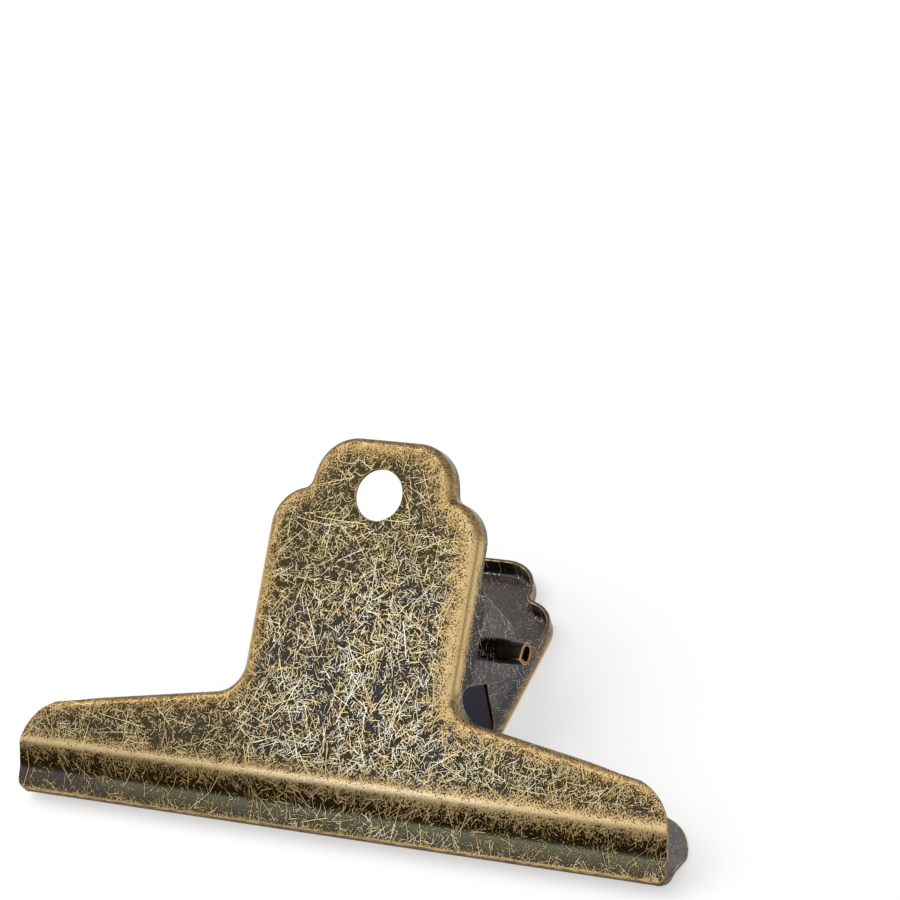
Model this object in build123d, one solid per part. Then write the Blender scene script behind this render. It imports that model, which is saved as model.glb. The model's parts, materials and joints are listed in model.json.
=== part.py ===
from build123d import *
import math
import os

# Bulldog clip: two stamped plates hinged on a hollow pin and shut by a torsion spring.
# It lies on the flat outside of its rear plate, with X along the jaw, Y from the jaw
# towards the handles and Z up. Millimetres and degrees.

# Sheet and the cross-section of the jaw
sheet = 0.8             # thickness of the steel sheet
jaw_width = 145.0       # jaw from end to end
half_angle = 18.0       # lean of each plate away from the closing plane
lip_gap = 0.1           # daylight between the closed lips
lip_height = 4.1        # gripping lip, from its edge up to the crease
lip_lean = 25.0         # lean of the lip away from the closing plane
shelf_height = 4.2      # sloping shelf between the crease and the ridge
shelf_lean = 40.0       # lean of the shelf away from the closing plane
ridge_bend = 3.0        # outer bend radius along the ridge
crease_bend = 4.0       # bend radius in the hollow of the crease
lip_corner = 2.0        # rounded ends of the lip

# Outline of a plate, measured up the plate from the ridge
plate_length = 69.2     # ridge to the top of the handle
handle_width = 47.3     # across the straight sides of the handle
wing_root = 16.2        # top edge of the wing, where it meets the handle
wing_fall = 9.4         # slope of the wing's top edge
root_round = 6.5        # inside corner between wing and handle
end_fall = 13.5         # steeper slope of that edge over the last stretch, bare of flange
end_round = 11.0        # rounding of the wing's corner
shoulder_drop = 12.9    # top of the handle down to its shoulder before rounding
shoulder_rise = 17.0    # slope of the shoulder towards the neck
shoulder_round = 8.5
neck_width = 32.4       # across the notches under the top lobe
neck_round = 2.0
lobe_lean = 12.0        # inward lean of the top lobe's sides
lobe_round = 9.0

# Turned flange round the handle and along the wings
flange_depth = 4.2      # outer face to the cut rim
flange_bend = 1.8       # outer bend radius
flange_hold = 4.4       # length of wing beside the handle with the full flange
flange_bare = 12.0      # length of wing at its end with no flange left

# Hanging hole
hole_radius = 5.2
hole_drop = 11.3        # top of the handle down to the centre of the hole

# Hinge ears and pin
pin_up = 43.8           # lip edge to the pin, along the closing plane
pin_radius = 2.45
pin_wall = 0.8
pin_clearance = 0.05    # pin to ear hole, on the radius
pin_proud = 5.6         # pin end beyond the outer ears
pinch_length = 4.6      # length of the pinched end
pinch_angle = 158.0     # way the pinched corner points, from +Y towards +Z
ear_round = 6.3         # round tip of an ear about the pin
ear_foot_low = 9.2      # root of the ear from the pin, jaw side
ear_foot_high = 9.8     # root of the ear from the pin, handle side
ear_foot_round = 3.0    # inside corners at the ear's root
ear_step = 0.6          # front ears stand out from the handle's side
ear_gap = 0.15          # between a front ear and the rear ear inside it
ear_crank = 2.2         # height over which an ear steps sideways

# Torsion spring
wire = 2.0
coil_radius = 4.3       # to the middle of the wire
coil_pitch = 2.6
half_coil = 3           # turns from the middle of the coil to each leg, less what its slope takes off
leg_dip = 32.0          # slope of a leg towards its plate
leg_run = 8.0           # length of leg that lies along the plate
leg_bend = 6.0
seat_gap = 0.1          # leg to the plate it bears on

lean = math.radians(half_angle)
lip_out = lip_gap / 2 + sheet * math.cos(math.radians(lip_lean))
crease_out = lip_out + lip_height * math.tan(math.radians(lip_lean))
ridge_out = crease_out + shelf_height * math.tan(math.radians(shelf_lean))
ridge_up = lip_height + shelf_height
handle_half = handle_width / 2
front_ear = handle_half + ear_step
rear_ear = front_ear - sheet - ear_gap


def on_plate(out, up):
    """Place on the rear plate of a point at a distance out from the closing plane and up from the lip."""
    along = (out - ridge_out) * math.sin(lean) + (up - ridge_up) * math.cos(lean)
    high = (up - ridge_up) * math.sin(lean) - (out - ridge_out) * math.cos(lean)
    return along, high


def wing_top(x):
    """Height of the wing's top edge, at a distance x from the middle of the jaw."""
    return wing_root - (x - handle_half) * math.tan(math.radians(wing_fall))


def both_sides(points):
    """Corner points of the right half, followed by those of the left half."""
    return points + [(-x, y) for x, y in reversed(points)]


pin_y, pin_z = on_plate(0, pin_up)
clip_axis = Axis((0, pin_y, pin_z), (0, math.cos(lean), math.sin(lean)))
below = 2 * ridge_up
reach = jaw_width / 2 + flange_depth


def plate_outline():
    """Flat outline of the handle and the wings, run on past the jaw ends and below the ridge."""
    shoulder = plate_length - shoulder_drop
    notch = shoulder + (handle_half - neck_width / 2) * math.tan(math.radians(shoulder_rise))
    lobe = neck_width / 2 - (plate_length - notch) * math.tan(math.radians(lobe_lean))
    edge = (handle_half - neck_width / 2) / math.cos(math.radians(shoulder_rise)) - sheet / 4
    neck_run = neck_round * math.tan(math.radians(90 - shoulder_rise - lobe_lean) / 2)
    edge_round = (edge - neck_run) / math.tan(math.radians(90 - shoulder_rise) / 2)
    corners = [
        (reach, -below),
        (reach, wing_top(reach)),
        (handle_half, wing_root),
        (handle_half, shoulder),
        (neck_width / 2, notch),
        (lobe, plate_length),
    ]
    rounds = [0, 0, root_round, min(shoulder_round, edge_round), neck_round, lobe_round]
    return make_face(FilletPolyline(both_sides(corners), radius=rounds + rounds[::-1], close=True))


blank = plate_outline()
hollow = offset(blank, -sheet, kind=Kind.INTERSECTION)


def handle_tray():
    """Drawn tray: the flat of the plate with its flange turned up all round, open towards the jaw."""
    outside = extrude(blank, flange_depth)
    outside = fillet(outside.faces().sort_by(Axis.Z)[0].edges(), flange_bend)
    inside = extrude(hollow, flange_depth)
    inside = fillet(inside.faces().sort_by(Axis.Z)[0].edges(), flange_bend - sheet)
    tray = outside - Pos(0, 0, sheet) * inside
    keep = Pos(0, ridge_bend, 0) * Box(
        2 * reach, plate_length, flange_depth, align=(Align.CENTER, Align.MIN, Align.MIN)
    )
    tray = tray & keep
    run_out = make_face(
        Polyline(
            (handle_half + flange_hold, flange_depth),
            (jaw_width / 2 - flange_bare, sheet),
            (reach, sheet),
            (reach, flange_depth),
            close=True,
        )
    )
    run_out = extrude(Plane.XZ * run_out, -plate_length)
    return tray - run_out - mirror(run_out, Plane.YZ)


def jaw_strip():
    """Bent sheet of the jaw: ridge, shelf, crease and lip, a little longer than the jaw."""
    face_line = FilletPolyline(
        (ridge_bend, 0),
        (0, 0),
        on_plate(crease_out, lip_height),
        on_plate(lip_out, 0),
        radius=[ridge_bend, crease_bend],
    )
    section = make_face(offset(face_line, sheet, side=Side.RIGHT))
    return extrude(Plane.YZ * section, reach, both=True)


def end_trim():
    """Outline that cuts the ends of the plate square at the jaw and round at the wing's corner."""
    lip_edge, _ = on_plate(lip_out, 0)
    slope = math.tan(math.radians(end_fall))
    bare = jaw_width / 2 - flange_bare
    corners = [
        (jaw_width / 2, lip_edge),
        (jaw_width / 2, wing_top(bare) - flange_bare * slope),
        (bare - sheet, wing_top(bare) + sheet * slope),
        (bare - sheet, plate_length + sheet),
    ]
    rounds = [lip_corner, end_round, 0, 0]
    face = make_face(FilletPolyline(both_sides(corners), radius=rounds + rounds[::-1], close=True))
    return extrude(face, below, both=True)


def ear(outer):
    """Hinge ear on the right side: the flange carried on, cranked sideways to the given outer face."""
    ear_low = pin_y - ear_foot_low
    ear_high = pin_y + ear_foot_high
    foot = 2 * ear_foot_round
    tip = Pos(pin_y, pin_z) * Circle(ear_round)
    root = Line((ear_low, flange_depth), (ear_high, flange_depth))
    base = Pos((ear_low + ear_high) / 2, flange_depth - sheet / 2) * Rectangle(
        ear_high - ear_low + 2 * foot, sheet
    )
    side = make_hull(tip.edges() + root.edges()) + base
    side = fillet(
        side.vertices().filter_by_position(Axis.X, ear_low - sheet, ear_high + sheet).group_by(Axis.Y)[0],
        ear_foot_round,
    )
    side = extrude(Plane.YZ * side, reach)
    wall = Pos(handle_half, (ear_low + ear_high) / 2) * Rectangle(
        2 * root_round, ear_high - ear_low + 2 * foot
    )
    wall = (blank - hollow) & wall
    shift = outer - handle_half
    rim = Pos(0, 0, flange_depth) * wall
    top = Pos(shift, 0, flange_depth + ear_crank) * wall
    crank = loft([rim.face(), top.face()], ruled=True)
    return (crank + extrude(top, pin_z + ear_round)) & side


def plate(ear_face):
    """One stamped plate, lying on its outer face."""
    body = (handle_tray() + jaw_strip()) & end_trim()
    right = ear(ear_face)
    body = body + right + mirror(right, Plane.YZ)
    body = body - Pos(0, plate_length - hole_drop, 0) * Cylinder(hole_radius, 4 * sheet)
    pin_hole = Pos(0, pin_y, pin_z) * Rot(0, 90, 0) * Cylinder(pin_radius + pin_clearance, 2 * reach)
    return body - pin_hole


def pin_section(radius, pinched):
    """Round section in three edges, or the same length of wall pinched to a square corner."""
    if pinched:
        radius = radius * 2 * math.pi / (1.5 * math.pi + 2)
    low, tip, high, back = [Vector(radius, 0).rotate(Axis.Z, a) for a in (-45, 0, 45, 180)]
    if pinched:
        tip = tip * math.sqrt(2)
        flanks = [Line(low, tip), Line(tip, high)]
    else:
        flanks = [RadiusArc(low, tip, -radius), RadiusArc(tip, high, -radius)]
    return make_face(flanks + [ThreePointArc(high, back, low)])


def hinge_pin():
    """Hollow pin, pinched at both ends so that it can't slide out of the ears."""
    end = front_ear + pin_proud
    start = end - pinch_length
    facing = Pos(0, pin_y, pin_z) * Rot(pinch_angle, 0, 0) * Plane.YZ.location

    def rod(radius):
        near = facing * Pos(0, 0, start) * pin_section(radius, False)
        far = facing * Pos(0, 0, end) * pin_section(radius, True)
        nib = loft([near, far], ruled=True)
        return extrude(facing * Circle(radius), start, both=True) + nib + mirror(nib, Plane.YZ)

    return rod(pin_radius) - rod(pin_radius - pin_wall)


def half_turn(point):
    """The same place on the other plate: half a turn about the clip's own axis."""
    arm = point - clip_axis.position
    return clip_axis.position + clip_axis.direction * (2 * arm.dot(clip_axis.direction)) - arm


def coil_point(angle):
    """Middle of the wire at an angle from the clip's own axis, and the way it runs there."""
    turn = math.radians(angle + half_angle)
    x = -coil_pitch * angle / 360
    point = Vector(x, pin_y + coil_radius * math.cos(turn), pin_z + coil_radius * math.sin(turn))
    way = Vector(-coil_pitch / (2 * math.pi), -coil_radius * math.sin(turn), coil_radius * math.cos(turn))
    return point, way.normalized()


def biarc(start, start_way, end, end_way):
    """Two arcs that leave one point and reach another along the given ways."""
    chord = end - start
    both = start_way + end_way
    spread = 2 * (1 - start_way.dot(end_way))
    drift = chord.dot(both)
    reach_out = (math.sqrt(drift**2 + spread * chord.dot(chord)) - drift) / spread
    near = start + start_way * reach_out
    far = end - end_way * reach_out
    middle = (near + far) * 0.5
    return [
        TangentArc(start, middle, tangent=start_way).edge(),
        TangentArc(middle, end, tangent=far - near).edge(),
    ]


def torsion_spring():
    """Spring wound round the pin, each end running on as a leg to the inside of its handle."""
    last = 360 * half_coil - 90 - leg_dip - half_angle
    steps = round(2 * last / 180)
    marks = [coil_point(last * (2 * i / steps - 1)) for i in range(steps + 1)]
    end, way = marks[-1]
    seat = sheet + seat_gap + wire / 2
    bend = end + way * ((end.Z - seat) / -way.Z)
    rear_leg = [end, bend, bend + Vector(0, leg_run, 0)]
    front_leg = [half_turn(point) for point in reversed(rear_leg)]
    path = FilletPolyline(front_leg, radius=leg_bend).edges()
    for (start, start_way), (stop, stop_way) in zip(marks, marks[1:]):
        path += biarc(start, start_way, stop, stop_way)
    path = Wire(path + FilletPolyline(rear_leg, radius=leg_bend).edges())
    tube = sweep(Plane(path @ 0, z_dir=path % 0) * Circle(wire / 2), path)
    per_wire = 4
    count = round(path.length / wire * per_wire)
    spots = [path @ (i / count) for i in range(count + 1)]
    apart = min((a - b).length for i, a in enumerate(spots) for b in spots[i + 3 * per_wire :])
    print(f"spring: least gap to itself {apart - wire:.2f} mm")
    print(f"spring: volume {tube.volume:.1f}, section by length {math.pi * wire**2 / 4 * path.length:.1f}")
    return tube


pieces = {
    "rear_jaw": plate(rear_ear),
    "front_jaw": plate(front_ear).rotate(clip_axis, 180),
    "hinge_pin": hinge_pin(),
    "torsion_spring": torsion_spring(),
}

# The origin is on the table, under the middle of the clip.
front_edge, _ = on_plate(-lip_out, 0)
middle = (front_edge + plate_length) / 2
os.makedirs("parts", exist_ok=True)
for name, piece in pieces.items():
    export_step(Pos(0, -middle, 0) * piece, f"parts/{name}.step")
print(f"hinge axis at y {pin_y - middle:.4f}, z {pin_z:.4f}")
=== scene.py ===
import json
import math

import bmesh
import bpy
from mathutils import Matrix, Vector
from mathutils.bvhtree import BVHTree
from mathutils.kdtree import KDTree


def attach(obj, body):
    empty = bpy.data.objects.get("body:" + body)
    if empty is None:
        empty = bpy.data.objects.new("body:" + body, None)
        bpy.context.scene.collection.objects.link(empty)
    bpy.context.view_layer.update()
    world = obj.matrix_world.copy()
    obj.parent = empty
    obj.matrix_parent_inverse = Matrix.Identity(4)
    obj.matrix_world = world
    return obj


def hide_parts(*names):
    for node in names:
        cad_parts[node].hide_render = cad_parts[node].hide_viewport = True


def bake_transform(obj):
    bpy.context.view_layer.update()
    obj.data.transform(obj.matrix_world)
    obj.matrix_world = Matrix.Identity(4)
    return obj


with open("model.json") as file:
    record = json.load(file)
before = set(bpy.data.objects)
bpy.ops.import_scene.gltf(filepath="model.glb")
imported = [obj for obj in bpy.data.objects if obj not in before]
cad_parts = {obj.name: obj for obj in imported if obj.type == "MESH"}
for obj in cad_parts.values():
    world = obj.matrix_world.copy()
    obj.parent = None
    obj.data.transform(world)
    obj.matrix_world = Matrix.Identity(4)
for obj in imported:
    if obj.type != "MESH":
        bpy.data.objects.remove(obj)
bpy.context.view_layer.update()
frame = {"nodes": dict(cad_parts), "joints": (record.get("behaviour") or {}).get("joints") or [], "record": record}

# A bulldog clip of antique brass: two stamped plates hinged on a tube and shut by a torsion spring.
# The frame is in metres. Sizes here are in millimetres and degrees, unless a comment says otherwise.
MM = 0.001

# Places on a plate are measured across it from its middle, up it from the ridge of the jaw, and in
# from its outer face. The vertex attribute plate_mm holds them.
sheet = 0.8              # thickness of the plated sheet
hole_up = 57.9           # middle of the hanging hole
hole_radius = 5.2
crest_up = 0.4           # crest of the ridge, as it wears, where its painted highlight is centred
jaw_flat = 0.6           # the plate is flat from here upwards, and below it the ridge begins
jaw_top = 6.0            # below this the finish is the jaw's, and above it the handle's and the wings'
lip_end = 70.5           # half the length of the straight part of the lip's cut face
hand_place = (-10.0, 15.0, 0.0)    # where a plate is handled most, and the middle of its painted highlight
hand_near = 10.0         # distances from there at which handling and the painted highlight begin to lessen and at which they end
hand_far = 48.0

# Making the pieces
outer_skin, inner_skin, cut_skin = range(3)    # materials of a plate, in the order they are added
weld = 0.03              # points of a CAD mesh that are nearer than this become one
flat_within = 0.5        # faces that turn less than this become one
sharp_edge = 50.0        # edges that turn more than this are rounded
smooth_edge = 35.0       # edges that turn less than this are shaded smooth
skin_turn = 40.0         # the outer skin runs on over edges that turn less than this
level = 0.9995           # cosine between a plate's normal and a face's above which the face is in its flat
face_depth = 0.02        # a point less deep than this is on the flat
just_under = 0.01        # the metal behind a face is measured from this far under it
cut_depth = 1.5 * sheet  # a face with more metal than this behind it is a cut edge
edge_break = 0.16        # rounding that tumbling gives the cut edges of a plate
end_break = 0.25         # rounding of the ends of the pin and of the wire
stray = 0.75 * edge_break    # a rounded point further than this off the CAD has run past its edge's end
net = 2.0                # spacing of the cuts that give a plate points to hold its wear
edge_step = 0.3          # spacing, at most, of the points that wear is measured from

# The torsion spring
wire = 2.0
wire_sides = 16
wire_weld = 0.01         # points of the two halves that are nearer than this become one
coil_radius = 4.3        # to the middle of the wire
coil_pitch = 2.6
coil_sweep = 940.0       # half of the coil, from its middle to where a leg leaves it
coil_step = 10.0         # turn from one ring of points on the wire to the next
leg_run = 8.0            # leg along the plate, from the corner that its bend rounds
leg_bend = 6.0           # radius of that bend
leg_steps = 8
seat_gap = 0.1           # between a leg and the plate that it bears on

# How far the black is rubbed off the flat of a plate, by distance from the edge of the flat.
rub_by_distance = ((0.0, 0.6), (1.0, 0.45), (2.4, 0.2), (5.0, 0.0))
# Across the plate that distance counts for more or less, and the wings are rubbed less.
distance_across = ((-38.0, 1.3), (-24.0, 0.75), (-15.0, 0.75), (15.0, 1.45))
wing_rub = ((24.0, 1.0), (34.0, 0.7))
# How far it is rubbed off the bend and down the flange, by depth, and the share spared where they face up, which
# darkens those bends as painted shade.
rub_by_depth = ((0.0, 0.68), (0.35, 0.9), (1.4, 0.9), (1.9, 0.8), (2.3, 0.5), (2.7, 0.2), (3.2, 0.0))
top_spared = 0.4

# Along the jaw, by height: how far its bends are rubbed, and how many scratches there are.
jaw_rub = ((-9.6, 0.95), (-9.3, 0.85), (-8.95, 0.25), (-8.3, 0.0), (-3.8, 0.0), (-2.6, 0.15), (-1.5, 0.34),
           (-0.8, 0.55), (-0.2, 0.88), (0.5, 0.8), (1.1, 0.58), (2.2, 0.3), (4.5, 0.0))
jaw_scratch = ((-9.6, 0.8), (-8.2, 0.66), (-5.6, 0.44), (-4.8, 0.46), (-4.0, 0.6), (-2.0, 0.75), (-0.6, 1.0))

# Layers of scratches: cell, half width, how far they bend, and strength. The real hairs are about 0.05 mm
# wide. They are drawn two or three times as wide, so that they show in the render.
short_hairs = ((0.75, 0.053, 1.4, 0.8), (1.05, 0.056, 1.2, 0.95),
               (1.5, 0.059, 0.9, 1.0), (2.2, 0.062, 0.6, 1.0))
long_hairs = ((3.2, 0.066, 0.45, 1.0), (4.8, 0.071, 0.35, 1.0),
              (7.0, 0.077, 0.25, 1.0), (10.5, 0.085, 0.15, 1.0))
first_shift = 3.7        # each layer is shifted by so many of its cells, so that no two lie alike
next_shift = 7.31
groove = 0.02            # depth of a scratch

# The photograph's camera
camera_place = (327.337, -423.798, 485.110)
camera_turn = (50.04197, 14.25588, 23.45822)
camera_lens = 141.408
camera_sensor = 36.0
camera_near = 10.0

# The studio, in metres and watts. Panels of more or less light stand in an even white room: the way to
# each, the cosines from that way at which it begins and is full, and the light that it adds.
floor_size = 6.0
room_light = 0.65
panels = (
    ((-0.42, -0.9, 0.0), 0.78, 0.93, -0.31),      # dark, low in front
    ((-0.2, -0.47, 0.86), 0.82, 0.98, 0.6),       # bright, high in front
    ((0.935, -0.1, 0.33), 0.955, 0.99, -0.42),    # a dark strip on the right, for the line along the bend
    ((0.52, -0.43, 0.74), 0.86, 0.97, 0.5),       # bright, high on the right, for the band beside that line
    ((-0.92, -0.2, 0.34), 0.86, 0.97, 0.45),      # bright, on the left
)
key_place = (-0.45, 0.05, 0.75)
key_size = 0.6
key_power = 3.0


def linear(colour):
    """An sRGB hex colour as linear RGBA."""
    channels = [int(colour[i:i + 2], 16) / 255 for i in (1, 3, 5)]
    return [c / 12.92 if c <= 0.04045 else ((c + 0.055) / 1.055) ** 2.4 for c in channels] + [1.0]


def add(tree, kind, inputs=None, **settings):
    """Adds a node to a tree. An input that is a socket is linked, and any other is set."""
    made = tree.nodes.new(kind)
    for key, value in settings.items():
        setattr(made, key, value)
    for key, value in (inputs or {}).items():
        if isinstance(value, bpy.types.NodeSocket):
            tree.links.new(value, made.inputs[key])
        else:
            made.inputs[key].default_value = value
    return made


def new_material(name):
    """An empty material and its tree."""
    material = bpy.data.materials.new(name)
    material.use_nodes = True
    material.node_tree.nodes.clear()
    return material, material.node_tree


def only(piece):
    """Makes a piece the only selected and active object."""
    bpy.ops.object.select_all(action="DESELECT")
    piece.select_set(True)
    bpy.context.view_layer.objects.active = piece


def between(value, table):
    """The value of a table of pairs at a point between them."""
    for (low, first), (high, last) in zip(table, table[1:]):
        if value <= high:
            return first + (last - first) * max(value - low, 0.0) / (high - low)
    return table[-1][1]


# Materials


def hair_scratches():
    """A group that draws one scratch in each cell of a scatter, bent and turned at random.

    Amount is the share of cells that have one. Side is the strip along it, where black skin is pressed up.
    """
    core_share = 0.75        # part of the half width that is full, before the edge fades
    skirt_share = 5.5        # half widths from the middle to the outside of the strip along it
    full_reach = 0.5         # cells from the middle to where an end begins to fade and to where it stops
    end_reach = 0.7

    group = bpy.data.node_groups.new("hair scratches", "ShaderNodeTree")
    face = group.interface
    face.new_socket("Place", in_out="INPUT", socket_type="NodeSocketVector")
    for name, value in (("Cell", 2.0), ("Width", 0.1), ("Bend", 1.0), ("Shift", 0.0), ("Amount", 1.0)):
        face.new_socket(name, in_out="INPUT", socket_type="NodeSocketFloat").default_value = value
    for name in ("Hair", "Side"):
        face.new_socket(name, in_out="OUTPUT", socket_type="NodeSocketFloat")
    given = add(group, "NodeGroupInput").outputs

    # Where a point is in its cell, along and across the cell's own scratch, which is bent into an arc.
    scaled = add(group, "ShaderNodeVectorMath", {0: given["Place"], 1: given["Cell"]},
                 operation="DIVIDE").outputs[0]
    moved = add(group, "ShaderNodeVectorMath", {0: scaled, 1: given["Shift"]}, operation="ADD").outputs[0]
    cells = add(group, "ShaderNodeTexVoronoi", {"Vector": moved, "Scale": 1.0},
                voronoi_dimensions="2D").outputs
    near = add(group, "ShaderNodeVectorMath", {0: moved, 1: cells["Position"]},
               operation="SUBTRACT").outputs[0]
    chance = add(group, "ShaderNodeSeparateColor", {0: cells["Color"]}).outputs
    turn = add(group, "ShaderNodeMath", {0: chance[0], 1: 2 * math.pi}, operation="MULTIPLY").outputs[0]
    laid = add(group, "ShaderNodeVectorRotate", {"Vector": near, "Angle": turn},
               rotation_type="Z_AXIS").outputs[0]
    along = add(group, "ShaderNodeSeparateXYZ", {0: laid}).outputs
    sway = add(group, "ShaderNodeMath", {0: chance[1], 1: -0.5}, operation="ADD").outputs[0]
    curl = add(group, "ShaderNodeMath", {0: sway, 1: given["Bend"]}, operation="MULTIPLY").outputs[0]
    square = add(group, "ShaderNodeMath", {0: along[0], 1: along[0]}, operation="MULTIPLY").outputs[0]
    bent = add(group, "ShaderNodeMath", {0: square, 1: curl, 2: along[1]},
               operation="MULTIPLY_ADD").outputs[0]
    off = add(group, "ShaderNodeMath", {0: bent}, operation="ABSOLUTE").outputs[0]
    reach = add(group, "ShaderNodeMath", {0: along[0]}, operation="ABSOLUTE").outputs[0]

    # The scratch, the strip along it and their ends. Not every cell has one, and some are fainter.
    width = add(group, "ShaderNodeMath", {0: given["Width"], 1: given["Cell"]}, operation="DIVIDE").outputs[0]
    core = add(group, "ShaderNodeMath", {0: width, 1: core_share}, operation="MULTIPLY").outputs[0]
    skirt = add(group, "ShaderNodeMath", {0: width, 1: skirt_share}, operation="MULTIPLY").outputs[0]
    faded = []
    for value, low, high in ((off, core, width), (off, width, skirt), (reach, full_reach, end_reach)):
        faded.append(add(group, "ShaderNodeMapRange", {0: value, 1: low, 2: high, 3: 1.0, 4: 0.0},
                         interpolation_type="SMOOTHSTEP").outputs[0])
    line, beside, fade = faded
    drawn = add(group, "ShaderNodeMath", {0: line, 1: fade}, operation="MULTIPLY").outputs[0]
    strong = add(group, "ShaderNodeMapRange", {0: chance[1], 1: 0.1, 2: 0.7, 3: 0.6, 4: 1.0}).outputs[0]
    shown = add(group, "ShaderNodeMath", {0: chance[2], 1: given["Amount"]}, operation="LESS_THAN").outputs[0]
    weight = add(group, "ShaderNodeMath", {0: strong, 1: shown}, operation="MULTIPLY").outputs[0]
    hair = add(group, "ShaderNodeMath", {0: drawn, 1: weight}, operation="MULTIPLY").outputs[0]
    near_end = add(group, "ShaderNodeMath", {0: beside, 1: fade}, operation="MULTIPLY").outputs[0]
    side = add(group, "ShaderNodeMath", {0: near_end, 1: shown}, operation="MULTIPLY").outputs[0]
    add(group, "NodeGroupOutput", {"Hair": hair, "Side": side})
    return group


def laid_out(tree):
    """The three measures of a place on a plate, and the place with the bends opened out flat."""
    opened_across = 0.9      # share of the depth that is laid out sideways, and upwards
    opened_up = 0.6
    place = add(tree, "ShaderNodeAttribute", attribute_name="plate_mm").outputs["Vector"]
    sideways, up, depth = add(tree, "ShaderNodeSeparateXYZ", {0: place}).outputs
    hand = add(tree, "ShaderNodeMath", {0: sideways}, operation="SIGN").outputs[0]
    turned = add(tree, "ShaderNodeMath", {0: depth, 1: hand}, operation="MULTIPLY").outputs[0]
    across = add(tree, "ShaderNodeMath", {0: turned, 1: opened_across, 2: sideways},
                 operation="MULTIPLY_ADD").outputs[0]
    upward = add(tree, "ShaderNodeMath", {0: depth, 1: opened_up, 2: up},
                 operation="MULTIPLY_ADD").outputs[0]
    laid = add(tree, "ShaderNodeCombineXYZ", {0: across, 1: upward}).outputs[0]
    return sideways, up, depth, laid


def scratch_layers(tree, laid, widen, dense, spread):
    """All the layers of scratches over each other, and the strips along them."""
    layers = [(layer, dense) for layer in short_hairs] + [(layer, spread) for layer in long_hairs]
    scratched = None
    beside = None
    for number, ((cell, width, bend, strength), amount) in enumerate(layers):
        wide = add(tree, "ShaderNodeMath", {0: widen, 1: width}, operation="MULTIPLY").outputs[0]
        inputs = {"Place": laid, "Width": wide, "Amount": amount,
                  "Cell": cell, "Bend": bend, "Shift": first_shift + next_shift * number}
        hair, side = add(tree, "ShaderNodeGroup", node_tree=hairs, inputs=inputs).outputs
        mask = add(tree, "ShaderNodeMath", {0: hair, 1: strength}, operation="MULTIPLY").outputs[0]
        if scratched:
            mask = add(tree, "ShaderNodeMath", {0: scratched, 1: mask}, operation="MAXIMUM").outputs[0]
            side = add(tree, "ShaderNodeMath", {0: beside, 1: side}, operation="MAXIMUM").outputs[0]
        scratched = mask
        beside = side
    return scratched, beside


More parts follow.
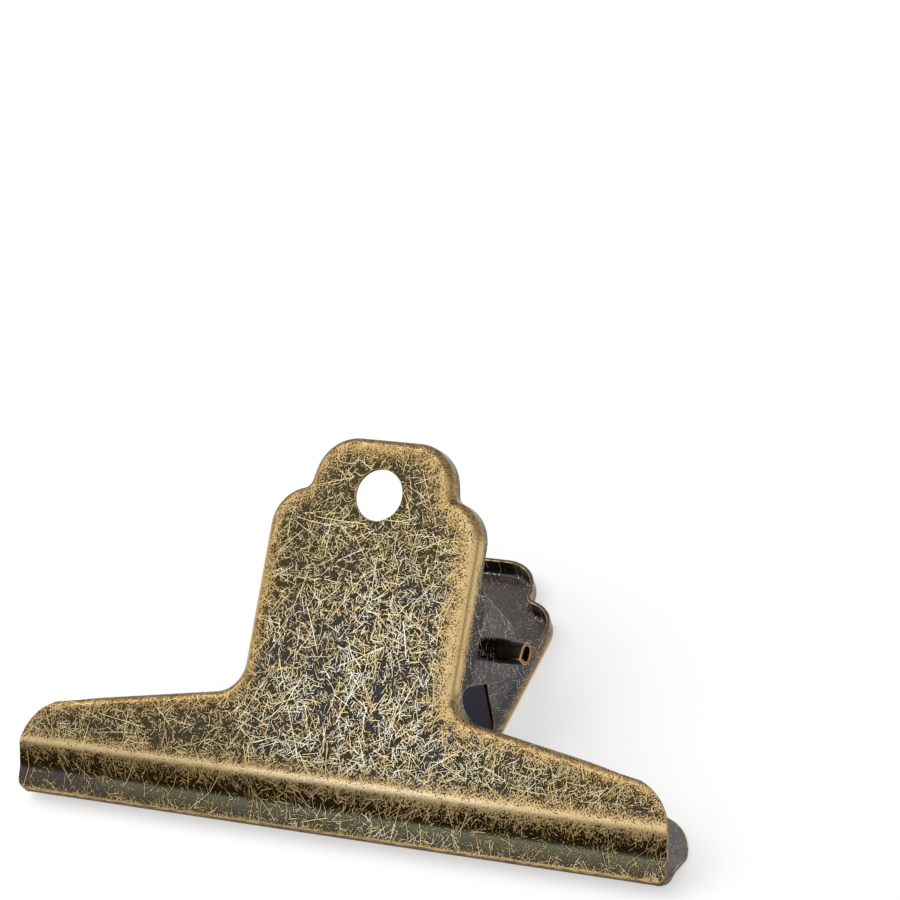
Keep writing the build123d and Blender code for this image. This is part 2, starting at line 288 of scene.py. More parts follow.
def antique_brass():
    """Brass-plated sheet, blackened, tumbled until bright hairs cut the dark skin all over, and lacquered."""
    material, tree = new_material("antique brass plate")
    sideways, up, depth, laid = laid_out(tree)
    rub = add(tree, "ShaderNodeAttribute", attribute_name="rub").outputs["Fac"]
    facing_up = add(tree, "ShaderNodeAttribute", attribute_name="facing_up").outputs["Fac"]
    on_jaw = add(tree, "ShaderNodeMath", {0: up, 1: jaw_top}, operation="LESS_THAN").outputs[0]
    off_jaw = add(tree, "ShaderNodeMath", {0: up, 1: jaw_top}, operation="GREATER_THAN").outputs[0]

    # Unevenness, from clouds in the patina down to grit: size, detail and roughness of each noise.
    noises = []
    for size, detail, roughness in ((9.0, 3.0, 0.5), (4.0, 2.0, 0.6), (2.2, 2.0, 0.5), (0.36, 1.0, 0.5)):
        inputs = {"Vector": laid, "Scale": 1 / size, "Detail": detail, "Roughness": roughness}
        noises.append(add(tree, "ShaderNodeTexNoise", inputs, noise_dimensions="2D").outputs[0])
    cloud, tint, spots, grit = noises

    # The tables of the jaw, as ramps over its height.
    bands = []
    for table in (jaw_rub, jaw_scratch):
        low, high = table[0][0], table[-1][0]
        at = add(tree, "ShaderNodeMapRange", {0: up, 1: low, 2: high, 3: 0.0, 4: 1.0}).outputs[0]
        ramp = add(tree, "ShaderNodeValToRGB", {0: at})
        for spot, value in table[1:-1]:
            ramp.color_ramp.elements.new((spot - low) / (high - low))
        for element, (spot, value) in zip(ramp.color_ramp.elements, table):
            element.color = (value, value, value, 1.0)
        bands.append(ramp.outputs[0])
    jaw_rubbed, jaw_scratched = bands

    # How near a place is to the hole, and to where the plate is handled most and painted lightest.
    distances = []
    for middle in ((0.0, hole_up, 0.0), hand_place):
        distances.append(add(tree, "ShaderNodeVectorMath", {0: laid, 1: middle},
                             operation="DISTANCE").outputs["Value"])
    from_hole, from_hand = distances
    handled_and_lit = add(tree, "ShaderNodeMapRange", {0: from_hand, 1: hand_near, 2: hand_far, 3: 1.0, 4: 0.0},
                  interpolation_type="SMOOTHSTEP").outputs[0]

    # Masks: what each is read from, the range over which it changes, and its value at either end.
    mask = {}
    for name, value, low, high, first, last in (
            ("thick", spots, 0.34, 0.46, 0.2, 1.0),            # short hairs are few in some spots
            ("off_ear", depth, 1.2, 2.6, 1.0, 0.32),           # all hairs are fewer on the sides and ears,
            ("off_hole", from_hole, hole_radius, hole_radius + 2.5, 0.4, 1.0),    # round the hole
            ("patchy", cloud, 0.36, 0.6, 0.65, 1.1),           # and in some clouds
            ("often", handled_and_lit, 0.0, 1.0, 0.84, 1.0),           # handling gives more hairs, wider and brighter ones, and a stronger painted highlight on the crest of the ridge
            ("finer", handled_and_lit, 0.0, 1.0, 0.85, 1.0),           # wider
            ("quieter", handled_and_lit, 0.0, 1.0, 0.88, 1.0),         # and brighter ones,
            ("bright", handled_and_lit, 0.0, 1.0, 0.32, 0.95),         # and a bright crest to the ridge
            ("far", handled_and_lit, 0.0, 1.0, 0.6, 0.0),              # near the hand the hairs are painted creamier, a painted highlight, and away from it all is browner
            ("shelf", up, -0.5, -2.0, 0.0, 0.8),
            ("on_lip", up, -4.6, -5.3, 0.0, 0.9),
            # the lip is painted darker towards its bottom, as painted shade
            ("lip_low_shade", up, -5.6, -8.4, 0.0, 1.0),
            ("side", depth, 2.4, 3.2, 0.0, 0.9),
            ("lit_side", sideways, -8.0, -22.0, 0.0, 0.65),   # bare brass on one side is painted lighter, a painted highlight
            # bends that face up the plate are painted darker, as painted shade
            ("top", facing_up, 0.03, 0.25, 0.0, 0.8)):
        inputs = {0: value, 1: low, 2: high, 3: first, 4: last}
        mask[name] = add(tree, "ShaderNodeMapRange", inputs).outputs[0]

    # How many scratches there are. Where an edge is rubbed there are more, and they are wider.
    spread = add(tree, "ShaderNodeMath", {0: on_jaw, 1: mask["off_ear"]}, operation="MAXIMUM").outputs[0]
    for factor in (jaw_scratched, mask["off_hole"], mask["patchy"], mask["often"]):
        spread = add(tree, "ShaderNodeMath", {0: spread, 1: factor}, operation="MULTIPLY").outputs[0]
    dense = add(tree, "ShaderNodeMath", {0: spread, 1: mask["thick"]}, operation="MULTIPLY").outputs[0]
    rubbed = add(tree, "ShaderNodeMath", {0: rub, 1: jaw_rubbed}, operation="MAXIMUM").outputs[0]
    dense = add(tree, "ShaderNodeMath", {0: rubbed, 1: 0.35, 2: dense}, operation="MULTIPLY_ADD").outputs[0]
    widen = add(tree, "ShaderNodeMapRange",
                {0: rubbed, 1: 0.0, 2: 0.8, 3: mask["finer"], 4: 1.2}).outputs[0]
    scratched, beside = scratch_layers(tree, laid, widen, dense, spread)

    # Where it is rubbed most, the skin is worn through in a band with a ragged edge.
    ragged = add(tree, "ShaderNodeMath", {0: spots, 1: 0.35, 2: grit}, operation="MULTIPLY_ADD").outputs[0]
    ragged = add(tree, "ShaderNodeMapRange", {0: ragged, 1: 0.4, 2: 0.95, 3: -0.6, 4: 0.5}).outputs[0]
    worn = add(tree, "ShaderNodeMath", {0: rubbed, 1: ragged}, operation="ADD").outputs[0]
    band = add(tree, "ShaderNodeMapRange", {0: worn, 1: 0.15, 2: 0.7, 3: 0.0, 4: 0.95},
               interpolation_type="SMOOTHSTEP").outputs[0]
    bare = add(tree, "ShaderNodeMath", {0: scratched, 1: band}, operation="MAXIMUM").outputs[0]
    tan = add(tree, "ShaderNodeMapRange", {0: rubbed, 1: 0.05, 2: 0.35, 3: 0.0, 4: 0.9}).outputs[0]
    on_bend = add(tree, "ShaderNodeMapRange", {0: rubbed, 1: 0.7, 2: 0.95, 3: 0.0, 4: 1.0}).outputs[0]

    # Parts of the plate with a colour of their own: the shelf of the jaw, the sides and the ears, and the hairs on
    # the shelf. Painted light as well: painted shade on the bends that face up, a painted highlight on the crest
    # of the ridge, and a painted highlight along the middle of the lip, whose end wavers.
    parts = []
    for name, place in (("shelf", on_jaw), ("side", off_jaw), ("top", off_jaw)):
        parts.append(add(tree, "ShaderNodeMath", {0: mask[name], 1: place}, operation="MULTIPLY").outputs[0])
    on_shelf, on_side, painted_top_shade = parts
    ochre = add(tree, "ShaderNodeMath", {0: on_shelf, 1: 0.8}, operation="MULTIPLY").outputs[0]
    ochre = add(tree, "ShaderNodeMapRange", {0: up, 1: -5.0, 2: -4.4, 3: 0.0, 4: ochre}).outputs[0]
    # A painted highlight: a pale cream band along the crest of the ridge.
    from_crest = add(tree, "ShaderNodeMath", {0: up, 1: crest_up}, operation="SUBTRACT").outputs[0]
    from_crest = add(tree, "ShaderNodeMath", {0: from_crest}, operation="ABSOLUTE").outputs[0]
    crest_highlight = add(tree, "ShaderNodeMapRange",
                {0: from_crest, 1: 0.4, 2: 1.2, 3: mask["bright"], 4: 0.0}).outputs[0]
    # A painted highlight along the middle of the lip, lighter and greener than its purple-grey end, whose edge
    # wavers.
    lip_highlight = add(tree, "ShaderNodeMath", {0: cloud, 1: -30.0, 2: sideways},
                  operation="MULTIPLY_ADD").outputs[0]
    lip_highlight = add(tree, "ShaderNodeMapRange", {0: lip_highlight, 1: 44.0, 2: 34.0, 3: 0.0, 4: 1.0}).outputs[0]

    # The clouded colours of the dark skin and of the hairs.
    ramps = []
    for value, stops in ((cloud, ((0.36, "#363437"), (0.5, "#383124"), (0.64, "#36311e"))),
                         (tint, ((0.32, "#f8e0b6"), (0.46, "#f4e6b8"), (0.62, "#fff9e4")))):
        ramp = add(tree, "ShaderNodeValToRGB", {0: value})
        ramp.color_ramp.elements.new(stops[1][0])
        for element, (stop, colour) in zip(ramp.color_ramp.elements, stops):
            element.position = stop
            element.color = linear(colour)
        ramps.append(ramp.outputs[0])
    patina, bright_brass = ramps

    # Hairs show less away from the hand, and least on a bend that is rubbed bright.
    kept = add(tree, "ShaderNodeMapRange", {0: on_bend, 3: mask["quieter"], 4: 0.5}).outputs[0]
    kept = add(tree, "ShaderNodeMath", {0: scratched, 1: kept}, operation="MULTIPLY").outputs[0]

    # Coats, each a first colour and then what covers parts of it: a colour, or another coat.
    coats = {"lip": linear("#524c4f"), "skin": patina, "bare": linear("#9a7d4e"), "hair": bright_brass}
    for coat, amount, cover in (
            # Painted highlight along the middle of the lip, and painted shade towards its bottom.
            ("lip", lip_highlight, "#686853"),
            ("lip", mask["lip_low_shade"], "#4c483a"),
            # Painted highlight: the skin is browner away from the middle of the plate.
            ("skin", mask["far"], "#41381f"),
            ("skin", on_shelf, "#352710"),
            ("skin", mask["on_lip"], "lip"),
            ("skin", on_side, "#39393e"),
            ("skin", beside, "#140c02"),
            ("bare", on_bend, "#d4b67e"),
            # Painted highlight: bare brass lighter on one side of the plate.
            ("bare", mask["lit_side"], "#debe84"),
            # Painted shade: bends that face up are darker.
            ("bare", painted_top_shade, "#785c32"),
            # Painted highlight on the crest of the ridge.
            ("bare", crest_highlight, "#f6e2b8"),
            # Painted highlight: hairs are creamier near the middle of the plate and more golden away from it.
            ("hair", mask["far"], "#e2c88e"),
            ("hair", on_side, "#c4beba"),
            ("hair", ochre, "#e0b468"),
            ("hair", tan, "#c4ab7c"),
            ("skin", band, "bare"),
            ("skin", kept, "hair")):
        over = coats[cover] if cover in coats else linear(cover)
        coats[coat] = add(tree, "ShaderNodeMix", {"Factor": amount, 6: coats[coat], 7: over},
                          data_type="RGBA").outputs[2]

    sheen = add(tree, "ShaderNodeMapRange", {0: on_side, 3: 0.22, 4: 0.13}).outputs[0]
    bare_rough = add(tree, "ShaderNodeMapRange", {0: on_bend, 3: 0.42, 4: 0.34}).outputs[0]
    rough = add(tree, "ShaderNodeMapRange", {0: bare, 1: 0.0, 2: 1.0, 3: sheen, 4: bare_rough}).outputs[0]
    bump = add(tree, "ShaderNodeBump", {"Height": bare, "Distance": groove * MM, "Strength": 0.5},
               invert=True).outputs[0]
    skin = add(tree, "ShaderNodeBsdfPrincipled",
               {"Base Color": coats["skin"], "Metallic": 1.0, "Roughness": rough, "Normal": bump})
    add(tree, "ShaderNodeOutputMaterial", {"Surface": skin.outputs[0]})
    return material


def inner_face():
    """The inside of the plates, black, lacquered and grainy, with golden specks where the black is off."""
    cloud_size = 6.0
    grain_size = 0.4
    material, tree = new_material("blackened inside of the sheet")
    place = add(tree, "ShaderNodeAttribute", attribute_name="plate_mm").outputs["Vector"]
    sideways, up, depth = add(tree, "ShaderNodeSeparateXYZ", {0: place}).outputs
    off_middle = add(tree, "ShaderNodeMath", {0: sideways}, operation="ABSOLUTE").outputs[0]
    above_jaw = add(tree, "ShaderNodeMath", {0: up, 1: jaw_top}, operation="GREATER_THAN").outputs[0]
    cloud = add(tree, "ShaderNodeTexNoise",
                {"Vector": place, "Scale": 1 / cloud_size, "Detail": 3.0}).outputs[0]
    grain = add(tree, "ShaderNodeTexNoise",
                {"Vector": place, "Scale": 1 / grain_size, "Detail": 2.0}).outputs[0]

    # Masks, as for the outside.
    mask = {}
    for name, value, low, high, first, last in (
            ("grain", grain, 0.45, 0.75, 0.0, 0.6),
            ("off_wing", off_middle, 26.0, 52.0, 1.0, 0.0),
            ("on_wing", off_middle, 40.0, 60.0, 0.0, 0.7),
            ("bend", depth, sheet + 0.002, sheet + 0.04, 0.0, 0.9),
            ("rough", cloud, 0.3, 0.7, 0.2, 0.34)):
        inputs = {0: value, 1: low, 2: high, 3: first, 4: last}
        mask[name] = add(tree, "ShaderNodeMapRange", inputs).outputs[0]
    # The inside of the bends above the jaw is painted nearly black, as painted shade.
    painted_bend_shade = add(tree, "ShaderNodeMath", {0: mask["bend"], 1: above_jaw}, operation="MULTIPLY").outputs[0]

    # Deep in the clip, between the wings and under the upper handle, it is painted dark as painted shade, and has
    # no specks.
    deep_shade = add(tree, "ShaderNodeMapRange", {0: up, 1: 36.0, 2: 44.0, 3: mask["off_wing"], 4: 0.0}).outputs[0]
    most = add(tree, "ShaderNodeMapRange", {0: deep_shade, 3: 0.7, 4: 0.0}).outputs[0]
    share = add(tree, "ShaderNodeMapRange", {0: cloud, 1: 0.38, 2: 0.64, 3: 0.0, 4: most}).outputs[0]
    inputs = {"Place": place, "Cell": 0.8, "Width": 0.07, "Bend": 1.0, "Shift": 91.0, "Amount": share}
    specks = add(tree, "ShaderNodeGroup", node_tree=hairs, inputs=inputs).outputs["Hair"]

    colour = linear("#3a3436")
    # Of these colours, the near black in the bends and the dark deep in the clip are painted shade.
    for amount, cover in ((cloud, "#5e5651"), (mask["on_wing"], "#727074"), (mask["grain"], "#948a82"),
                          (painted_bend_shade, "#1c1a1b"), (deep_shade, "#302d3a"), (specks, "#b8a07c")):
        colour = add(tree, "ShaderNodeMix", {"Factor": amount, 6: colour, 7: linear(cover)},
                     data_type="RGBA").outputs[2]
    skin = add(tree, "ShaderNodeBsdfPrincipled",
               {"Base Color": colour, "Metallic": 0.6, "Roughness": mask["rough"]})
    add(tree, "ShaderNodeOutputMaterial", {"Surface": skin.outputs[0]})
    return material


def cut_edge():
    """The cut edge of the sheet, where tumbling has taken the black off and left brown brass."""
    cloud_size = 2.0
    material, tree = new_material("tumbled cut edge")
    place = add(tree, "ShaderNodeAttribute", attribute_name="plate_mm").outputs["Vector"]
    cloud = add(tree, "ShaderNodeTexNoise",
                {"Vector": place, "Scale": 1 / cloud_size, "Detail": 3.0}).outputs[0]
    colour = add(tree, "ShaderNodeMix", {"Factor": cloud, 6: linear("#2e2828"), 7: linear("#7c6a56")},
                 data_type="RGBA").outputs[2]
    skin = add(tree, "ShaderNodeBsdfPrincipled", {"Base Color": colour, "Metallic": 0.8, "Roughness": 0.35})
    add(tree, "ShaderNodeOutputMaterial", {"Surface": skin.outputs[0]})
    return material


def rubbed_corner():
    """The corners of the cut edge, which rub on everything and are bright brass in places."""
    cloud_size = 1.5
    material, tree = new_material("rubbed corner")
    place = add(tree, "ShaderNodeAttribute", attribute_name="plate_mm").outputs["Vector"]
    cloud = add(tree, "ShaderNodeTexNoise",
                {"Vector": place, "Scale": 1 / cloud_size, "Detail": 3.0}).outputs[0]
    worn = add(tree, "ShaderNodeMapRange", {0: cloud, 1: 0.4, 2: 0.7, 3: 0.0, 4: 1.0}).outputs[0]
    colour = add(tree, "ShaderNodeMix", {"Factor": worn, 6: linear("#665444"), 7: linear("#d8b880")},
                 data_type="RGBA").outputs[2]
    skin = add(tree, "ShaderNodeBsdfPrincipled", {"Base Color": colour, "Metallic": 1.0, "Roughness": 0.35})
    add(tree, "ShaderNodeOutputMaterial", {"Surface": skin.outputs[0]})
    return material


def blackened_tube():
    """Steel tube, blackened and lacquered, cloudy from black to dark brown, for the hinge pin."""
    cloud_size = 1.5
    material, tree = new_material("blackened steel tube")
    place = add(tree, "ShaderNodeTexCoord").outputs["Object"]
    cloud = add(tree, "ShaderNodeTexNoise",
                {"Vector": place, "Scale": 1 / (cloud_size * MM), "Detail": 3.0}).outputs[0]
    colour = add(tree, "ShaderNodeMix", {"Factor": cloud, 6: linear("#0d0b08"), 7: linear("#30261a")},
                 data_type="RGBA").outputs[2]
    skin = add(tree, "ShaderNodeBsdfPrincipled", {"Base Color": colour, "Metallic": 0.7, "Roughness": 0.3})
    add(tree, "ShaderNodeOutputMaterial", {"Surface": skin.outputs[0]})
    return material


def rubbed_tube_edge():
    """The edges of the tube's ends, rubbed through to golden brass plating."""
    cloud_size = 1.0
    material, tree = new_material("rubbed tube edge")
    place = add(tree, "ShaderNodeTexCoord").outputs["Object"]
    cloud = add(tree, "ShaderNodeTexNoise",
                {"Vector": place, "Scale": 1 / (cloud_size * MM), "Detail": 2.0}).outputs[0]
    colour = add(tree, "ShaderNodeMix", {"Factor": cloud, 6: linear("#8a6228"), 7: linear("#d0a050")},
                 data_type="RGBA").outputs[2]
    skin = add(tree, "ShaderNodeBsdfPrincipled", {"Base Color": colour, "Metallic": 0.9, "Roughness": 0.3})
    add(tree, "ShaderNodeOutputMaterial", {"Surface": skin.outputs[0]})
    return material


def drawn_wire():
    """Drawn spring steel wire, grey, with faint die lines that run along it."""
    material, tree = new_material("drawn spring steel")
    around = add(tree, "ShaderNodeAttribute", attribute_name="around_wire").outputs["Vector"]
    lines = add(tree, "ShaderNodeTexNoise", {"Vector": around, "Scale": 6.0, "Detail": 2.0}).outputs[0]
    colour = add(tree, "ShaderNodeMix", {"Factor": lines, 6: linear("#8a8884"), 7: linear("#bab7b0")},
                 data_type="RGBA").outputs[2]
    rough = add(tree, "ShaderNodeMapRange", {0: lines, 1: 0.3, 2: 0.7, 3: 0.25, 4: 0.4}).outputs[0]
    skin = add(tree, "ShaderNodeBsdfPrincipled", {"Base Color": colour, "Metallic": 1.0, "Roughness": rough})
    add(tree, "ShaderNodeOutputMaterial", {"Surface": skin.outputs[0]})
    return material


def floor_paint():
    """White seamless paper. The camera and mirrors see it half lit by itself: white, but with its shadow."""
    material, tree = new_material("white seamless paper")
    path = add(tree, "ShaderNodeLightPath").outputs
    seen = path["Is Camera Ray"]
    for other in ("Is Glossy Ray", "Is Transmission Ray"):
        seen = add(tree, "ShaderNodeMath", {0: seen, 1: path[other]}, operation="MAXIMUM").outputs[0]
    paper = add(tree, "ShaderNodeBsdfDiffuse", {"Color": (0.8, 0.8, 0.8, 1.0)}).outputs[0]
    part = add(tree, "ShaderNodeBsdfDiffuse", {"Color": (0.5, 0.5, 0.5, 1.0)}).outputs[0]
    glow = add(tree, "ShaderNodeEmission", {"Color": (1.0, 1.0, 1.0, 1.0), "Strength": 0.5}).outputs[0]
    both = add(tree, "ShaderNodeAddShader", {0: part, 1: glow}).outputs[0]
    mixed = add(tree, "ShaderNodeMixShader", {0: seen, 1: paper, 2: both}).outputs[0]
    add(tree, "ShaderNodeOutputMaterial", {"Surface": mixed})
    return material


# Pieces


def merged_copy(name, node):
    """A copy of a CAD node's mesh with its triangles joined and its flats dissolved, open for editing."""
    piece = bpy.data.objects.new(name, frame["nodes"][node].data.copy())
    bpy.context.collection.objects.link(piece)
    piece.data.materials.clear()
    only(piece)
    bpy.ops.object.mode_set(mode="EDIT")
    bpy.ops.mesh.select_all(action="SELECT")
    bpy.ops.mesh.remove_doubles(threshold=weld * MM)
    bpy.ops.mesh.customdata_custom_splitnormals_clear()
    bpy.ops.mesh.dissolve_limited(angle_limit=math.radians(flat_within))
    return piece


def break_edges(piece, width):
    """Rounds a piece's sharp edges, as tumbling does, and gives the new faces its last material."""
    bpy.ops.mesh.select_all(action="DESELECT")
    bpy.ops.mesh.select_mode(type="EDGE")
    bpy.ops.mesh.edges_select_sharp(sharpness=math.radians(sharp_edge))
    bpy.ops.mesh.bevel(offset=width * MM, segments=2, profile=0.5,
                       material=len(piece.data.materials) - 1, clamp_overlap=False)
    bpy.ops.mesh.select_mode(type="FACE")


def pull_back(piece, node):
    """Takes rounding that runs past the tapered ends of the lip's cut face back to those ends."""
    solid = frame["nodes"][node].data
    skin = BVHTree.FromPolygons([vertex.co for vertex in solid.vertices],
                                [face.vertices for face in solid.polygons])
    mesh = bmesh.from_edit_mesh(piece.data)
    for vertex in mesh.verts:
        if abs(vertex.co.x) > lip_end * MM and skin.find_nearest(vertex.co)[3] > stray * MM:
            vertex.co.x = math.copysign(lip_end * MM, vertex.co.x)
    bmesh.update_edit_mesh(piece.data)


def smooth(piece):
    """Leaves edit mode and shades a piece smooth, with flat faces kept flat."""
    bpy.ops.object.mode_set(mode="OBJECT")
    bpy.ops.object.shade_smooth_by_angle(angle=math.radians(smooth_edge))
    modifier = piece.modifiers.new("weighted", "WEIGHTED_NORMAL")
    modifier.keep_sharp = True
    bpy.ops.object.modifier_apply(modifier=modifier.name)


def plate_places(hole, across, upward, outward):
    """What turns a point of the frame into its place on a plate, from the mount of its hanging hole."""
    middle = Vector(hole["pos_m"])

    def place(point):
        from_hole = (point - middle) / MM
        return Vector((from_hole.dot(across), hole_up + from_hole.dot(upward),
                       sheet / 2 - from_hole.dot(outward)))

    return place


def finish_regions(piece, outward):
    """Gives a plate's outer skin, inner skin and cut edge their materials."""
    mesh = bmesh.from_edit_mesh(piece.data)
    mesh.normal_update()
    bpy.ops.mesh.select_all(action="DESELECT")
    flats = [face for face in mesh.faces if face.normal.dot(outward) > level]
    broadest = max(flats, key=lambda face: face.calc_area())
    broadest.select_set(True)
    mesh.faces.active = broadest
    bpy.ops.mesh.faces_select_linked_flat(sharpness=math.radians(skin_turn))
    tree = BVHTree.FromBMesh(mesh)
    for face in mesh.faces:
        if face.select:
            face.material_index = outer_skin
            continue
        start = face.calc_center_median() - face.normal * just_under * MM
        behind = tree.ray_cast(start, -face.normal)[3]
        face.material_index = cut_skin if behind is None or behind > cut_depth * MM else inner_skin
    bmesh.update_edit_mesh(piece.data)


def cut_net(piece, place_of, ways):
    """Cuts a net through a plate, so that it has points that can hold how far it is worn."""
    mesh = bmesh.from_edit_mesh(piece.data)
    spots = [place_of(vertex.co) for vertex in mesh.verts]
    middle = place_of(Vector((0.0, 0.0, 0.0)))
    for axis, normal in enumerate(ways):
        low = min(spot[axis] for spot in spots)
        high = max(spot[axis] for spot in spots)
        for number in range(1, math.ceil((high - low) / net)):
            at = low + net * number
            if axis == 1 and at < jaw_flat:
                continue
            bpy.ops.mesh.select_all(action="SELECT")
            bpy.ops.mesh.bisect(plane_co=normal * (at - middle[axis]) * MM, plane_no=normal)


def flat_edge(mesh, place_of, outward):
    """A tree of points along the edge of a plate's flat, without its stretches at the jaw and the hole."""
    jaw_clear = jaw_flat + 0.3
    hole_clear = hole_radius + 1.0
    points = []
    for edge in mesh.edges:
        flat = [face.material_index == outer_skin and face.normal.dot(outward) > level
                for face in edge.link_faces]
        if len(flat) != 2 or flat[0] == flat[1]:
            continue
        start, end = [place_of(vertex.co) for vertex in edge.verts]
        if max(start[1], end[1]) <= jaw_clear:
            continue
        steps = 1 + int((start - end).length / edge_step)
        points += [start.lerp(end, step / steps) for step in range(steps + 1)]
    points = [spot for spot in points if (spot - Vector((0.0, hole_up, spot[2]))).length > hole_clear]
    tree = KDTree(len(points))
    for number, spot in enumerate(points):
        tree.insert(spot, number)
    tree.balance()
    return tree


def wear(piece, place_of, upward, outward):
    """Writes each point's place on the plate, how far it is rubbed, and how far it faces up the plate."""
    mesh = bmesh.from_edit_mesh(piece.data)
    mesh.normal_update()
    border = flat_edge(mesh, place_of, outward)
    places = mesh.verts.layers.float_vector.new("plate_mm")
    rubs = mesh.verts.layers.float.new("rub")
    ups = mesh.verts.layers.float.new("facing_up")
    for vertex in mesh.verts:
        spot = place_of(vertex.co)
        vertex[places] = spot
        vertex[ups] = max(vertex.normal.dot(upward), 0.0)
        if spot[2] < face_depth:
            distance = border.find(spot)[2] * between(spot[0], distance_across)
            vertex[rubs] = between(distance, rub_by_distance) * between(abs(spot[0]), wing_rub)
        elif spot[1] < jaw_flat:
            vertex[rubs] = 0.0
        else:
            # Bends that face up are rubbed less, which partly stands as painted shade.
            vertex[rubs] = between(spot[2], rub_by_depth) * (1.0 - top_spared * vertex[ups])
    bmesh.update_edit_mesh(piece.data)


def plate(name, node, body, hole, side):
    """One stamped plate of the clip, from its CAD solid, with rounded edges, its finishes and its wear."""
    outward = Vector(hole["axis"])
    across = Vector((side, 0.0, 0.0))
    upward = across.cross(outward)
    place_of = plate_places(hole, across, upward, outward)
    piece = merged_copy(name, node)
    for finish in (antique, inside, cut, corner):
        piece.data.materials.append(finish)
    finish_regions(piece, outward)
    break_edges(piece, edge_break)
    pull_back(piece, node)
    cut_net(piece, place_of, (across, upward))
    wear(piece, place_of, upward, outward)
    smooth(piece)
    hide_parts(node)
    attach(piece, body)


def pin():
    """The hollow hinge pin, from its CAD solid, with rounded ends."""
    piece = merged_copy("pin_tube", "hinge_pin")
    piece.data.materials.append(black_pin)
    piece.data.materials.append(rubbed_pin)
    break_edges(piece, end_break)
    smooth(piece)
    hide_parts("hinge_pin")
    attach(piece, "rear")


def half_coil():
    """Half of the spring's coil, about the X axis: a ring of the wire turned along a screw."""
    middle = Vector((0.0, coil_radius * MM, 0.0))
    bpy.ops.object.select_all(action="DESELECT")
    bpy.ops.mesh.primitive_circle_add(vertices=wire_sides, radius=wire / 2 * MM, location=middle)
    piece = bpy.context.object
    piece.name = "spring_wire"
    bpy.ops.object.transform_apply(location=True)
    around = piece.data.attributes.new("around_wire", "FLOAT_VECTOR", "POINT")
    for vertex, value in zip(piece.data.vertices, around.data):
        value.vector = (vertex.co - middle) / (wire / 2 * MM)
    screw = piece.modifiers.new("coil", "SCREW")
    screw.axis = "X"
    screw.angle = math.radians(coil_sweep)
    screw.screw_offset = -coil_pitch * MM * coil_sweep / 360
    screw.steps = screw.render_steps = round(coil_sweep / coil_step)
    screw.use_smooth_shade = True
    bpy.ops.object.modifier_apply(modifier=screw.name)
    return piece


def run_out_leg(piece, end, way, lean, hinge_up):
    """Runs the wire out of the coil's end, bends it onto the inside of the handle and lays it along it."""
    along = Vector((0.0, math.cos(lean), -math.sin(lean)))
    inward = Vector((0.0, math.sin(lean), math.cos(lean)))
    drop = end.dot(inward) + hinge_up - sheet - seat_gap - wire / 2
    bend = way.angle(along)
    tangent = leg_bend * math.tan(bend / 2)
    straight = drop / -way.dot(inward) - tangent
    hub = end + way * straight + (along - way * along.dot(way)).normalized() * leg_bend
    only(piece)
    bpy.ops.object.mode_set(mode="EDIT")
    bpy.ops.mesh.select_mode(type="EDGE")
    bpy.ops.mesh.select_all(action="DESELECT")
    mesh = bmesh.from_edit_mesh(piece.data)
    for edge in mesh.edges:
        middle = (edge.verts[0].co + edge.verts[1].co) / 2
        edge.select_set(edge.is_boundary and (middle - end * MM).length < wire * MM)
    bmesh.update_edit_mesh(piece.data)
    bpy.ops.mesh.extrude_region_move(TRANSFORM_OT_translate={"value": way * straight * MM})
    # Blender's spin turns by minus its angle.
    bpy.ops.mesh.spin(steps=leg_steps, angle=-bend, center=hub * MM, axis=way.cross(along).normalized())
    bpy.ops.mesh.extrude_region_move(TRANSFORM_OT_translate={"value": along * (leg_run - tangent) * MM})
    bpy.ops.mesh.edge_face_add()
    bpy.ops.mesh.bevel(offset=end_break * MM, segments=2)
    bpy.ops.object.mode_set(mode="OBJECT")


def spring():
    """The torsion spring: half a coil and its leg, and the same again turned half round."""
    hinge = Vector(frame["joints"][0]["pos_m"])
    lean = Vector(mounts["front_hang_hole"]["axis"]).angle(Vector((0.0, 0.0, 1.0))) / 2
    turn = math.radians(coil_sweep)
    end = Vector((-coil_pitch * coil_sweep / 360, coil_radius * math.cos(turn), coil_radius * math.sin(turn)))
    way = Vector((-coil_pitch / (2 * math.pi), -coil_radius * math.sin(turn), coil_radius * math.cos(turn)))
    piece = half_coil()
    run_out_leg(piece, end, way.normalized(), lean, hinge.z / MM)

    other = piece.copy()
    other.data = piece.data.copy()
    bpy.context.collection.objects.link(other)
    other.rotation_euler = (0.0, math.pi, 0.0)
    other.select_set(True)
    bpy.ops.object.join()
    piece.rotation_euler = (lean, 0.0, 0.0)
    piece.location = hinge
    bpy.ops.object.transform_apply(location=True, rotation=True)
    bpy.ops.object.mode_set(mode="EDIT")
    bpy.ops.mesh.select_all(action="SELECT")
    bpy.ops.mesh.remove_doubles(threshold=wire_weld * MM)
    bpy.ops.mesh.normals_make_consistent(inside=False)
    bpy.ops.object.mode_set(mode="OBJECT")
    bpy.ops.object.shade_smooth_by_angle(angle=math.radians(smooth_edge))
    piece.data.materials.append(spring_steel)
    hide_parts("torsion_spring")
    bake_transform(piece)


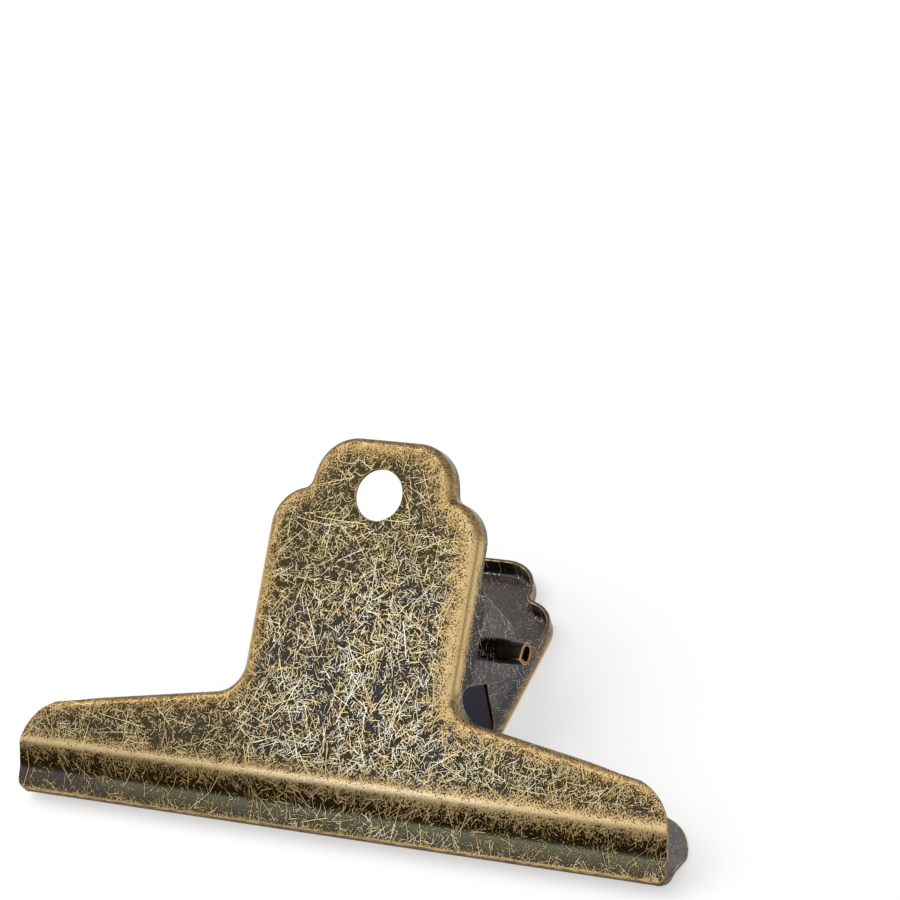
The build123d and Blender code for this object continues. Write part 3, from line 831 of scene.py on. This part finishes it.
mounts = {mount["name"]: mount for mount in frame["record"]["mounts"]}
hairs = hair_scratches()
antique = antique_brass()
inside = inner_face()
cut = cut_edge()
corner = rubbed_corner()
black_pin = blackened_tube()
rubbed_pin = rubbed_tube_edge()
spring_steel = drawn_wire()
plate("front_plate", "front_jaw", "front", mounts["front_hang_hole"], -1.0)
plate("rear_plate", "rear_jaw", "rear", mounts["rear_hang_hole"], 1.0)
pin()
spring()

# Studio
bpy.ops.object.select_all(action="DESELECT")
bpy.ops.mesh.primitive_plane_add(size=floor_size, location=(0.0, 0.0, 0.0))
floor = bpy.context.object
floor.name = "floor"
floor.data.materials.append(floor_paint())

world = bpy.data.worlds.new("studio")
bpy.context.scene.world = world
world.use_nodes = True
room = world.node_tree
room.nodes.clear()
direction = add(room, "ShaderNodeTexCoord").outputs["Generated"]
strength = room_light
for way, begins, full, more in panels:
    facing = add(room, "ShaderNodeVectorMath", {0: direction, 1: way},
                 operation="DOT_PRODUCT").outputs["Value"]
    panel = add(room, "ShaderNodeMapRange", {0: facing, 1: begins, 2: full, 3: 0.0, 4: more},
                interpolation_type="SMOOTHSTEP").outputs[0]
    strength = add(room, "ShaderNodeMath", {0: strength, 1: panel}, operation="ADD").outputs[0]
light = add(room, "ShaderNodeBackground", {"Color": (1.0, 1.0, 1.0, 1.0), "Strength": strength}).outputs[0]
add(room, "ShaderNodeOutputWorld", {"Surface": light})

bpy.ops.object.light_add(type="AREA", location=key_place)
key = bpy.context.object
key.name = "key_softbox"
key.data.shape = "SQUARE"
key.data.size = key_size
key.data.energy = key_power
key.rotation_euler = (-key.location).to_track_quat("-Z", "Y").to_euler()

bpy.ops.object.camera_add(location=Vector(camera_place) * MM,
                          rotation=[math.radians(turn) for turn in camera_turn])
camera = bpy.context.object
camera.name = "photo_camera"
camera.data.sensor_width = camera_sensor
camera.data.lens = camera_lens
camera.data.clip_start = camera_near * MM
camera.data.dof.use_dof = False
bpy.context.scene.camera = camera
bpy.context.scene.view_settings.view_transform = "Standard"
